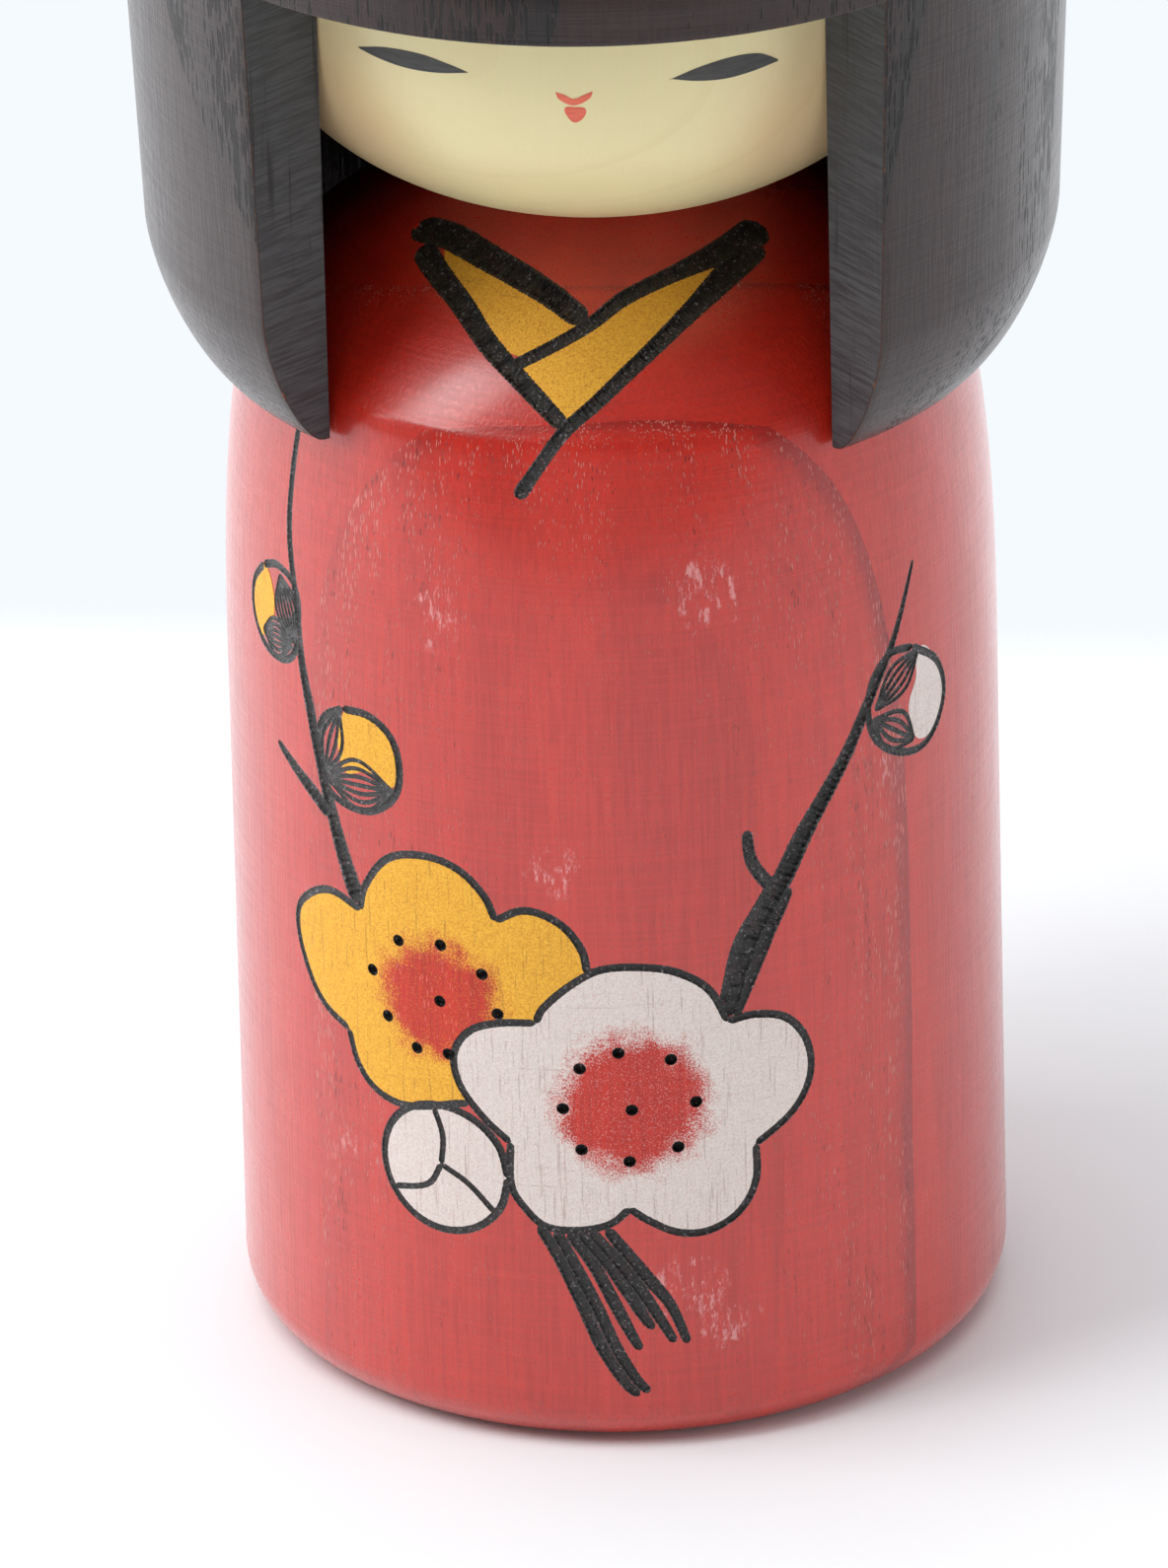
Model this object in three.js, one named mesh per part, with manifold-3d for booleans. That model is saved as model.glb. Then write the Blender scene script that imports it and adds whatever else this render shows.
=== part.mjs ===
// Turned wooden kokeshi doll: a red body, a pale head that turns on a neck dowel, and a dark
// bell of hair that is bored to take the head and has a window cut through it for the face.
// Millimetres. +Z is up, the doll stands on Z = 0 and its face looks along -Y.

import * as THREE from "three";
import { mergeVertices } from "three/addons/utils/BufferGeometryUtils.js";
import Module from "manifold-3d";

// Driving dimensions.

const BODY_RADIUS = 35; // the body at the height where its wall begins to draw in
const BASE_SPREAD = 0.2; // how much wider the foot is
const BASE_ROUNDING = 4.5;
const WAIST_HEIGHT = 60; // the wall begins to draw in here
const SHOULDER_HEIGHT = 99.5; // and gives way to the chest here
const SHOULDER_DRAW = 2.7; // how far the wall has drawn in by the shoulder
const SHOULDER_SHARPNESS = 3; // power of the curve that it draws in by
const CHEST_START_ANGLE = 35; // lean of the chest away from upright, at the shoulder, in degrees
const CHEST_END_ANGLE = 66; // and at the neck
const CHEST_HEIGHT = 13.8; // from the shoulder up to the neck
const NECK_RADIUS = 13; // flat round seat that the head rests on

const CHIN_HEIGHT = 23.9; // from the head's lower seat up to its widest girth
const CHIN_OVERRUN = 1.5; // how far the ball would run on below the seat that is cut on it
const CHIN_ROUNDNESS = 2.24; // power of the curve under the girth
const SCALP_HEIGHT = 24; // from the girth up to the head's upper seat
const SCALP_OVERRUN = 1.5;
const SCALP_ROUNDNESS = 2.6;

const BORE_CORNER_WIDTH = 14; // rounded corner where the bore meets its flat ceiling
const BORE_CORNER_HEIGHT = 14.5;
const HAIR_WALL = 8.9; // from the bore to the outside, where the hair is widest
const HAIR_OVERHANG = 3; // how far the hair's lower edge reaches down past the shoulder
const HAIR_EDGE_WIDTH = 0.7; // blunt ring left between the bore and the outer curve
const HAIR_FLARE = 2; // how much narrower the hair's side is at its lower edge
const HAIR_CURL_HEIGHT = 13; // outer curve that turns in to the lower edge
const HAIR_CURL_ROUNDNESS = 1.5;
const HAIR_CROWN_RISE = 8.5; // the side ends this far above the head's girth, where the crown begins
const HAIR_CROWN_THICKNESS = 18.2; // wood above the ceiling of the bore
const HAIR_CROWN_ROUNDNESS = 2.2;

const FRINGE_RISE = 5; // top of the face window, above the head's girth
const WINDOW_HALF_ANGLE = 41.7; // the window's side faces stand on radii, in degrees

const NECK_DOWEL_RADIUS = 6;
const NECK_DOWEL_IN_BODY = 18;
const NECK_DOWEL_IN_HEAD = 18;
const CROWN_DOWEL_RADIUS = 4;
const CROWN_DOWEL_IN_HEAD = 9;
const CROWN_DOWEL_IN_HAIR = 9;
const DOWEL_CHAMFER = 0.8;

const SEAT_CLEARANCE = 0.3; // between two faces that rest on each other
const HAIR_EDGE_CLEARANCE = 0.73; // between the hair's lower edge and the body's wall inside it
const BORE_CLEARANCE = 0.3; // round the head in the hair
const DOWEL_CLEARANCE = 0.3; // round a dowel in its hole
const DOWEL_END_ROOM = 1; // air and glue past the end of a dowel

const SEGMENTS = 64; // sides of the large turned pieces
const DOWEL_SEGMENTS = 24;
const WALL_STEPS = 7;
const CHEST_STEPS = 6;
const BALL_STEPS = 9;
const CORNER_STEPS = 5;
const CURL_STEPS = 6;
const CROWN_STEPS = 9;
const QUARTER_TURN = Math.PI / 2;

// Sizes that follow from them.

// Radius of the body's wall above the waist.
function wallRadius(height) {
  const share = (height - WAIST_HEIGHT) / (SHOULDER_HEIGHT - WAIST_HEIGHT);
  return BODY_RADIUS - SHOULDER_DRAW * Math.pow(share, SHOULDER_SHARPNESS);
}

const NECK_HEIGHT = SHOULDER_HEIGHT + CHEST_HEIGHT;
const HAIR_EDGE_HEIGHT = SHOULDER_HEIGHT - HAIR_OVERHANG;
const BORE_RADIUS = wallRadius(HAIR_EDGE_HEIGHT) + HAIR_EDGE_CLEARANCE;
const HAIR_RADIUS = BORE_RADIUS + HAIR_WALL;
const HEAD_SEAT = NECK_HEIGHT + SEAT_CLEARANCE;
const HEAD_GIRTH = HEAD_SEAT + CHIN_HEIGHT;
const HEAD_TOP = HEAD_GIRTH + SCALP_HEIGHT;
const HEAD_RADIUS = BORE_RADIUS - BORE_CLEARANCE;
const FRINGE_HEIGHT = HEAD_GIRTH + FRINGE_RISE;
const HAIR_CROWN_START = HEAD_GIRTH + HAIR_CROWN_RISE;
const BORE_CEILING = HEAD_TOP + SEAT_CLEARANCE;
const HAIR_TOP = BORE_CEILING + HAIR_CROWN_THICKNESS;
const NECK_HOLE_RADIUS = NECK_DOWEL_RADIUS + DOWEL_CLEARANCE;
const CROWN_HOLE_RADIUS = CROWN_DOWEL_RADIUS + DOWEL_CLEARANCE;

// Materials.

const finish = (color, roughness) => new THREE.MeshStandardMaterial({ color, roughness, metalness: 0 });
const redWood = finish(0xa8342c, 0.42);
const paleWood = finish(0xeadfb4, 0.45);
const darkWood = finish(0x2e2624, 0.5);
const dowelWood = finish(0xcfa877, 0.7);

// Profiles. Each is a list of Vector2(radius, height) that starts and ends on the axis.

const point = (radius, height) => new THREE.Vector2(radius, height);

// Quarter of a superellipse: 0 at t = 0, 1 at t = 1, leaving t = 0 steeply and arriving level.
const swell = (t, roundness) => Math.pow(1 - Math.pow(1 - t, roundness), 1 / roundness);

// Evenly spread steps from 0 to 1, gathered towards 0, where the curves bend most.
const gathered = (steps) =>
  Array.from({ length: steps + 1 }, (_, i) => 1 - Math.cos((QUARTER_TURN * i) / steps));

// Half of a turned ball between its girth and a seat cut across it.
function ballRadius(fromGirth, height, overrun, roundness) {
  const share = fromGirth / (height + overrun);
  return HEAD_RADIUS * Math.pow(1 - Math.pow(share, roundness), 1 / roundness);
}

function bodyProfile() {
  const profile = [point(0, 0)];
  for (let i = 0; i <= CORNER_STEPS; i++) {
    const turn = (QUARTER_TURN * i) / CORNER_STEPS;
    const inset = BASE_ROUNDING * (1 - Math.sin(turn));
    const foot = BODY_RADIUS + BASE_SPREAD;
    profile.push(point(foot - inset, BASE_ROUNDING * (1 - Math.cos(turn))));
  }
  for (let i = 0; i <= WALL_STEPS; i++) {
    const height = WAIST_HEIGHT + ((SHOULDER_HEIGHT - WAIST_HEIGHT) * i) / WALL_STEPS;
    profile.push(point(wallRadius(height), height));
  }
  const chest = chestCurve().getPoints(CHEST_STEPS);
  profile.push(...chest.slice(1));
  const floor = NECK_HEIGHT - NECK_DOWEL_IN_BODY - DOWEL_END_ROOM;
  profile.push(point(NECK_HOLE_RADIUS, NECK_HEIGHT));
  profile.push(point(NECK_HOLE_RADIUS, floor));
  profile.push(point(0, floor));
  return profile;
}

// One sweep from the shoulder to the neck, whose two end slopes are set by the lean angles.
function chestCurve() {
  const shoulder = point(wallRadius(SHOULDER_HEIGHT), SHOULDER_HEIGHT);
  const neck = point(NECK_RADIUS, NECK_HEIGHT);
  const startLean = Math.tan(THREE.MathUtils.degToRad(CHEST_START_ANGLE));
  const endLean = Math.tan(THREE.MathUtils.degToRad(CHEST_END_ANGLE));
  const run = shoulder.x - neck.x;
  const rise = neck.y - shoulder.y;
  const bendRise = (rise * endLean - run) / (endLean - startLean);
  const bend = point(shoulder.x - bendRise * startLean, shoulder.y + bendRise);
  return new THREE.QuadraticBezierCurve(shoulder, bend, neck);
}

function headProfile() {
  const neckHoleTop = HEAD_SEAT + NECK_DOWEL_IN_HEAD + DOWEL_END_ROOM;
  const crownHoleFloor = HEAD_TOP - CROWN_DOWEL_IN_HEAD - DOWEL_END_ROOM;
  const profile = [
    point(0, neckHoleTop),
    point(NECK_HOLE_RADIUS, neckHoleTop),
    point(NECK_HOLE_RADIUS, HEAD_SEAT),
  ];
  for (const t of gathered(BALL_STEPS)) {
    const below = CHIN_HEIGHT * (1 - t);
    const radius = ballRadius(below, CHIN_HEIGHT, CHIN_OVERRUN, CHIN_ROUNDNESS);
    profile.push(point(radius, HEAD_GIRTH - below));
  }
  for (const t of gathered(BALL_STEPS).reverse().slice(1)) {
    const above = SCALP_HEIGHT * (1 - t);
    const radius = ballRadius(above, SCALP_HEIGHT, SCALP_OVERRUN, SCALP_ROUNDNESS);
    profile.push(point(radius, HEAD_GIRTH + above));
  }
  profile.push(point(CROWN_HOLE_RADIUS, HEAD_TOP));
  profile.push(point(CROWN_HOLE_RADIUS, crownHoleFloor));
  profile.push(point(0, crownHoleFloor));
  return profile;
}

// Outer radius of the hair's side, which flares a little from its lower edge to the crown.
function hairSideRadius(height) {
  const share = (height - HAIR_EDGE_HEIGHT) / (HAIR_CROWN_START - HAIR_EDGE_HEIGHT);
  return HAIR_RADIUS - HAIR_FLARE * (1 - share);
}

function hairProfile() {
  const crownHoleTop = BORE_CEILING + CROWN_DOWEL_IN_HAIR + DOWEL_END_ROOM;
  const profile = [
    point(0, crownHoleTop),
    point(CROWN_HOLE_RADIUS, crownHoleTop),
    point(CROWN_HOLE_RADIUS, BORE_CEILING),
  ];
  for (let i = 0; i <= CORNER_STEPS; i++) {
    const turn = (QUARTER_TURN * i) / CORNER_STEPS;
    const inset = BORE_CORNER_WIDTH * (1 - Math.sin(turn));
    const drop = BORE_CORNER_HEIGHT * (1 - Math.cos(turn));
    profile.push(point(BORE_RADIUS - inset, BORE_CEILING - drop));
  }
  profile.push(point(BORE_RADIUS, HAIR_EDGE_HEIGHT));
  const edgeRadius = BORE_RADIUS + HAIR_EDGE_WIDTH;
  const curlDepth = hairSideRadius(HAIR_EDGE_HEIGHT) - edgeRadius;
  for (const t of gathered(CURL_STEPS)) {
    const height = HAIR_EDGE_HEIGHT + HAIR_CURL_HEIGHT * t;
    const turnedIn = curlDepth * (1 - swell(t, HAIR_CURL_ROUNDNESS));
    profile.push(point(hairSideRadius(height) - turnedIn, height));
  }
  for (const t of gathered(CROWN_STEPS).reverse()) {
    const height = HAIR_TOP - (HAIR_TOP - HAIR_CROWN_START) * t;
    profile.push(point(HAIR_RADIUS * swell(t, HAIR_CROWN_ROUNDNESS), height));
  }
  return profile;
}

function dowelProfile(radius, bottom, top) {
  return [
    point(0, bottom),
    point(radius - DOWEL_CHAMFER, bottom),
    point(radius, bottom + DOWEL_CHAMFER),
    point(radius, top - DOWEL_CHAMFER),
    point(radius - DOWEL_CHAMFER, top),
    point(0, top),
  ];
}

// Turned solids. LatheGeometry turns about Y, so each is stood up on Z.

function turned(profile, segments) {
  const lathe = new THREE.LatheGeometry(profile, segments);
  lathe.rotateX(QUARTER_TURN);
  return lathe;
}

// Wedge between two upright planes through the axis, open towards the face.
function windowWedge() {
  const reach = HAIR_RADIUS * 2;
  const half = THREE.MathUtils.degToRad(WINDOW_HALF_ANGLE);
  const wedge = new THREE.Shape();
  wedge.moveTo(0, 0);
  wedge.lineTo(-reach * Math.tan(half), -reach);
  wedge.lineTo(reach * Math.tan(half), -reach);
  const below = HAIR_EDGE_WIDTH;
  const depth = FRINGE_HEIGHT - HAIR_EDGE_HEIGHT + below;
  const geometry = new THREE.ExtrudeGeometry(wedge, { depth, bevelEnabled: false });
  geometry.translate(0, 0, HAIR_EDGE_HEIGHT - below);
  return geometry;
}

const wasm = await Module();
wasm.setup();

function toSolid(geometry) {
  const bare = geometry.clone();
  bare.deleteAttribute("normal");
  bare.deleteAttribute("uv");
  const merged = mergeVertices(bare, 1e-4);
  const mesh = new wasm.Mesh({
    numProp: 3,
    vertProperties: merged.attributes.position.array,
    triVerts: new Uint32Array(merged.index.array),
  });
  return new wasm.Manifold(mesh);
}

function toGeometry(solid) {
  const { vertProperties, triVerts } = solid.getMesh();
  const geometry = new THREE.BufferGeometry();
  geometry.setAttribute("position", new THREE.BufferAttribute(vertProperties, 3));
  geometry.setIndex(new THREE.BufferAttribute(triVerts, 1));
  geometry.computeVertexNormals();
  return geometry;
}

function piece(name, geometry, material) {
  const mesh = new THREE.Mesh(geometry, material);
  mesh.name = name;
  return mesh;
}

const hairShell = toSolid(turned(hairProfile(), SEGMENTS));
const hairWithWindow = hairShell.subtract(toSolid(windowWedge()));

const neckDowel = dowelProfile(
  NECK_DOWEL_RADIUS,
  NECK_HEIGHT - NECK_DOWEL_IN_BODY,
  HEAD_SEAT + NECK_DOWEL_IN_HEAD,
);
const crownDowel = dowelProfile(
  CROWN_DOWEL_RADIUS,
  HEAD_TOP - CROWN_DOWEL_IN_HEAD,
  BORE_CEILING + CROWN_DOWEL_IN_HAIR,
);

// The doll: what stands still, and what turns as one about the neck dowel.

const standing = new THREE.Group();
standing.add(piece("body", turned(bodyProfile(), SEGMENTS), redWood));
standing.add(piece("neck_dowel", turned(neckDowel, DOWEL_SEGMENTS), dowelWood));

const turning = new THREE.Group();
turning.add(piece("head", turned(headProfile(), SEGMENTS), paleWood));
turning.add(piece("crown_dowel", turned(crownDowel, DOWEL_SEGMENTS), dowelWood));
turning.add(piece("hair", toGeometry(hairWithWindow), darkWood));

const doll = new THREE.Group();
doll.add(standing, turning);

export default doll;
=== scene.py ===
"""Turned wooden kokeshi doll: finely turned wood, burnt-in drawing, brushed gold and silver paint.

Sizes are in millimetres, as a turner would give them, and become metres at the end.
The face looks along -Y. Drawings are given as (around, height): "around" is measured along the
widest girth of the piece, positive towards a viewer's right.
"""

import bisect
import math
import random

import bmesh
import bpy
from mathutils import Matrix, Vector
from mathutils.geometry import interpolate_bezier


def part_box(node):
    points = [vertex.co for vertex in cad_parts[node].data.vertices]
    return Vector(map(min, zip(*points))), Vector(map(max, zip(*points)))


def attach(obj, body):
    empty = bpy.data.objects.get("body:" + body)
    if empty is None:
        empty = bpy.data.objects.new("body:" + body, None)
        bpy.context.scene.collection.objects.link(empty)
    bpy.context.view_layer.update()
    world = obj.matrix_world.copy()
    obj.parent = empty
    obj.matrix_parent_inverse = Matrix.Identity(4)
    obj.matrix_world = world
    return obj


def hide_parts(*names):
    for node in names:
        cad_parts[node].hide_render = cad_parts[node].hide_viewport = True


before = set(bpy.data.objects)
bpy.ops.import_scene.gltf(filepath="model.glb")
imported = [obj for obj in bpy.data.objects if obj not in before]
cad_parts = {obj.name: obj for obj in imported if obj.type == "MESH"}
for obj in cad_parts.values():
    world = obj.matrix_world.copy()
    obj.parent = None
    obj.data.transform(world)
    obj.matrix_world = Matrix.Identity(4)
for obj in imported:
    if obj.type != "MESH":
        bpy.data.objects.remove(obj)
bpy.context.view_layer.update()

MM = 0.001
STANDING = "doll_body"
TURNING = "doll_head"
random.seed(7)

# Sizes of the turned pieces, the same as the solids'.

BODY_RADIUS = 35.0
BASE_SPREAD = 0.2
BASE_ROUNDING = 4.5
WAIST_HEIGHT = 60.0
SHOULDER_HEIGHT = 99.5
SHOULDER_DRAW = 2.7
NECK_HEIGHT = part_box("body")[1].z / MM
NECK_RADIUS = 13.0
CHEST_START_LEAN = math.radians(35)
CHEST_END_LEAN = math.radians(66)
NECK_HOLE_FLOOR = 94.3
DOWEL_HOLE_RADIUS = 6.3

HEAD_RADIUS = 33.3
HEAD_SEAT, HEAD_TOP = (corner.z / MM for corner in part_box("head"))
HEAD_GIRTH = 137.5
HEAD_OVERRUN = 1.5
CHIN_ROUNDNESS = 2.24
SCALP_ROUNDNESS = 2.6
CROWN_HOLE_RADIUS = 4.3
CROWN_HOLE_FLOOR = 151.5
CROWN_HOLE_CEILING = 171.8
HEAD_HOLE_CEILING = 132.6

HAIR_EDGE, HAIR_TOP = (corner.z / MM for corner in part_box("hair"))
HAIR_RADIUS = 42.5
BORE_RADIUS = 33.6
BORE_CEILING = 161.8
BORE_CORNER = (14.0, 14.5)
HAIR_EDGE_WIDTH = 0.7
HAIR_FLARE = 2.0
CURL_HEIGHT = 13.0
CURL_ROUNDNESS = 1.5
CROWN_START = 146.0
CROWN_ROUNDNESS = 2.2
FRINGE_HEIGHT = 142.5
WINDOW_HALF_ANGLE = math.radians(41.7)
EDGE_CHAMFER = 0.8

TURN_STEPS = 192
QUARTER = math.pi / 2

# Small tools.


def swell(share, roundness):
    """Quarter of a superellipse, from 0 at 0, where it is steep, to 1 at 1, where it is level."""
    return (1 - (1 - share) ** roundness) ** (1 / roundness)


def steps(count):
    return [i / count for i in range(count + 1)]


def gathered(count):
    """Steps from 0 to 1 that lie closer together towards 0."""
    return [1 - math.cos(QUARTER * share) for share in steps(count)]


def add_object(name, mesh):
    made = bpy.data.objects.new(name, mesh)
    bpy.context.scene.collection.objects.link(made)
    return made


def mesh_from(bm, name):
    mesh = bpy.data.meshes.new(name)
    bm.to_mesh(mesh)
    bm.free()
    return mesh


def shade(mesh, angle=35):
    """Smooth shading with creases where the surface turns by more than the angle."""
    mesh.shade_smooth()
    mesh.set_sharp_from_angle(angle=math.radians(angle))


def settle(obj):
    """The object's modifiers and shape become its plain mesh."""
    depsgraph = bpy.context.evaluated_depsgraph_get()
    mesh = bpy.data.meshes.new_from_object(obj.evaluated_get(depsgraph))
    old = obj.data
    obj.modifiers.clear()
    if obj.type == "MESH":
        obj.data = mesh
        bpy.data.meshes.remove(old)
        return obj
    made = add_object(obj.name + "_mesh", mesh)
    bpy.data.objects.remove(obj)
    bpy.data.curves.remove(old)
    return made


def carve(target, operation, *tools):
    for tool in tools:
        cut = target.modifiers.new(operation.lower(), "BOOLEAN")
        cut.solver = "MANIFOLD"
        cut.operation = operation
        cut.object = tool
    return settle(target)


def copy_of(obj, name):
    return add_object(name, obj.data.copy())


def discard(objects):
    for obj in objects:
        mesh = obj.data
        bpy.data.objects.remove(obj)
        bpy.data.meshes.remove(mesh)


# Turned profiles, each from the bottom to the top as (radius, height).


def wall_radius(height):
    if height <= WAIST_HEIGHT:
        share = (WAIST_HEIGHT - height) / (WAIST_HEIGHT - BASE_ROUNDING)
        return BODY_RADIUS + BASE_SPREAD * share
    share = (height - WAIST_HEIGHT) / (SHOULDER_HEIGHT - WAIST_HEIGHT)
    return BODY_RADIUS - SHOULDER_DRAW * share**3


def body_skin():
    foot = BODY_RADIUS + BASE_SPREAD
    skin = []
    for share in steps(10):
        turn = QUARTER * share
        skin.append((foot - BASE_ROUNDING * (1 - math.sin(turn)), BASE_ROUNDING * (1 - math.cos(turn))))
    for share in steps(64)[1:]:
        height = BASE_ROUNDING + (SHOULDER_HEIGHT - BASE_ROUNDING) * share
        skin.append((wall_radius(height), height))
    shoulder_radius = wall_radius(SHOULDER_HEIGHT)
    run = shoulder_radius - NECK_RADIUS
    rise = NECK_HEIGHT - SHOULDER_HEIGHT
    start, end = math.tan(CHEST_START_LEAN), math.tan(CHEST_END_LEAN)
    bend_rise = (rise * end - run) / (end - start)
    bend = (shoulder_radius - bend_rise * start, SHOULDER_HEIGHT + bend_rise)
    for share in steps(40)[1:]:
        weights = ((1 - share) ** 2, 2 * share * (1 - share), share**2)
        rows = ((shoulder_radius, SHOULDER_HEIGHT), bend, (NECK_RADIUS, NECK_HEIGHT))
        skin.append(tuple(sum(w * row[axis] for w, row in zip(weights, rows)) for axis in (0, 1)))
    return skin


def ball_radius(from_girth, reach, roundness):
    share = from_girth / (reach + HEAD_OVERRUN)
    return HEAD_RADIUS * (1 - share**roundness) ** (1 / roundness)


def head_skin():
    chin = HEAD_GIRTH - HEAD_SEAT
    scalp = HEAD_TOP - HEAD_GIRTH
    skin = []
    for share in gathered(36):
        below = chin * (1 - share)
        skin.append((ball_radius(below, chin, CHIN_ROUNDNESS), HEAD_GIRTH - below))
    for share in reversed(gathered(36)[:-1]):
        above = scalp * (1 - share)
        skin.append((ball_radius(above, scalp, SCALP_ROUNDNESS), HEAD_GIRTH + above))
    return skin


def hair_side(height):
    share = (height - HAIR_EDGE) / (CROWN_START - HAIR_EDGE)
    return HAIR_RADIUS - HAIR_FLARE * (1 - share)


def hair_outside():
    depth = hair_side(HAIR_EDGE) - (BORE_RADIUS + HAIR_EDGE_WIDTH)
    skin = []
    for share in gathered(24):
        height = HAIR_EDGE + CURL_HEIGHT * share
        skin.append((hair_side(height) - depth * (1 - swell(share, CURL_ROUNDNESS)), height))
    for top in (FRINGE_HEIGHT, CROWN_START):
        bottom = skin[-1][1]
        for share in steps(12)[1:]:
            height = bottom + (top - bottom) * share
            skin.append((hair_side(height), height))
    rise = HAIR_TOP - CROWN_START
    for share in reversed(gathered(48)[:-1]):
        skin.append((HAIR_RADIUS * swell(share, CROWN_ROUNDNESS), HAIR_TOP - rise * share))
    return skin


def hair_inside():
    """From the lower edge up the bore, over its rounded corner and in to the crown dowel's hole."""
    width, height = BORE_CORNER
    skin = [(BORE_RADIUS, HAIR_EDGE + (FRINGE_HEIGHT - HAIR_EDGE) * share) for share in steps(12)]
    for share in reversed(steps(16)):
        turn = QUARTER * share
        inset = width * (1 - math.sin(turn))
        skin.append((BORE_RADIUS - inset, BORE_CEILING - height * (1 - math.cos(turn))))
    skin += [(CROWN_HOLE_RADIUS, BORE_CEILING), (CROWN_HOLE_RADIUS, CROWN_HOLE_CEILING)]
    skin.append((0, CROWN_HOLE_CEILING))
    return skin


def spin(bm, profile, turn_from, angle, count):
    verts = [bm.verts.new((radius, 0, height)) for radius, height in profile]
    edges = [bm.edges.new(pair) for pair in zip(verts, verts[1:])]
    rotation = Matrix.Rotation(turn_from, 3, "Z")
    bmesh.ops.rotate(bm, cent=(0, 0, 0), matrix=rotation, verts=verts)
    bmesh.ops.spin(
        bm, geom=verts + edges, cent=(0, 0, 0), axis=(0, 0, 1), dvec=(0, 0, 0),
        angle=angle, space=Matrix.Identity(4), steps=count, use_merge=angle >= 2 * math.pi,
        use_normal_flip=False, use_duplicate=False,
    )


def close_up(bm, distance=1e-4):
    bmesh.ops.remove_doubles(bm, verts=bm.verts, dist=distance)
    bmesh.ops.recalc_face_normals(bm, faces=bm.faces)


def turned(name, profile):
    bm = bmesh.new()
    spin(bm, profile, 0, 2 * math.pi, TURN_STEPS)
    close_up(bm)
    return add_object(name, mesh_from(bm, name))


# The turned face of a piece rolled out flat. Heights are stretched with the girth, so that a shape
# drawn on the flat keeps its proportions on the wood.


class Skin:
    def __init__(self, profile, girth):
        self.girth = girth
        self.rows = []
        self.flats = []
        flat = 0.0
        for i, (radius, height) in enumerate(profile):
            before = profile[max(i - 1, 0)]
            after = profile[min(i + 1, len(profile) - 1)]
            along = Vector((after[0] - before[0], after[1] - before[1])).normalized()
            if i:
                flat += math.dist(before, (radius, height)) * girth / ((before[0] + radius) / 2)
            self.rows.append((radius, height, along.y, -along.x))
            self.flats.append(flat)
        self.heights = [row[1] for row in self.rows]

    def _between(self, keys, value):
        i = min(max(bisect.bisect(keys, value), 1), len(keys) - 1)
        share = (value - keys[i - 1]) / (keys[i] - keys[i - 1])
        return i, min(max(share, 0), 1)

    def flat(self, height):
        i, share = self._between(self.heights, height)
        return self.flats[i - 1] + (self.flats[i] - self.flats[i - 1]) * share

    def at(self, flat):
        i, share = self._between(self.flats, flat)
        return [a + (b - a) * share for a, b in zip(self.rows[i - 1], self.rows[i])]

    def stretch(self, flat):
        """How many times larger a drawing is on the flat than on the wood."""
        return self.girth / self.at(flat)[0]

    def wrap(self, mesh):
        for vert in mesh.vertices:
            around, flat, lift = vert.co
            radius, height, out, up = self.at(flat)
            lift *= radius / self.girth
            turn = around / self.girth
            reach = radius + lift * out
            vert.co = (reach * math.sin(turn), -reach * math.cos(turn), height + lift * up)
        mesh.update()


def smooth_line(points, spacing=0.0, closed=False):
    """One even curve through the points. Each point has as many numbers as a Vector holds."""
    given = [Vector(point).to_3d() for point in points]
    count = len(given)
    spans = count if closed else count - 1
    dense = []
    for i in range(spans):
        here, there = given[i], given[(i + 1) % count]
        before = given[(i - 1) % count] if closed or i else here
        after = given[(i + 2) % count] if closed or i + 2 < count else there
        reach = (there - here).length
        lean_in = (there - before).normalized() * reach / 3
        lean_out = (after - here).normalized() * reach / 3
        dense += interpolate_bezier(here, here + lean_in, there - lean_out, there, 16)[:-1]
    dense.append(dense[0] if closed else given[-1])
    if not spacing:
        return dense
    lengths = [0.0]
    for a, b in zip(dense, dense[1:]):
        lengths.append(lengths[-1] + (b - a).length)
    wanted = max(round(lengths[-1] / spacing), 2)
    even = []
    for i in range(wanted + 1):
        target = lengths[-1] * i / wanted
        j = min(max(bisect.bisect(lengths, target), 1), len(dense) - 1)
        share = (target - lengths[j - 1]) / max(lengths[j] - lengths[j - 1], 1e-9)
        even.append(dense[j - 1].lerp(dense[j], min(max(share, 0), 1)))
    return even


# Burnt lines. A hot pen leaves a shallow trough, wider than it is deep, with a row of small dents.

LINE_STEP = 0.3
TROUGH_SHAPE = 0.5  # depth of a trough against half its width
LINING_WIDTH = 0.92  # the char inside a trough leaves this share of it open
DENT_DEPTH = 0.38  # how far a dent narrows the line, at most
EDGE_DENTS = 0.3  # share of that which reaches the trough's edge
PIT_RADIUS = 0.62
PIT_SINK = 0.2  # how deep a pit's centre lies, against its radius


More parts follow.
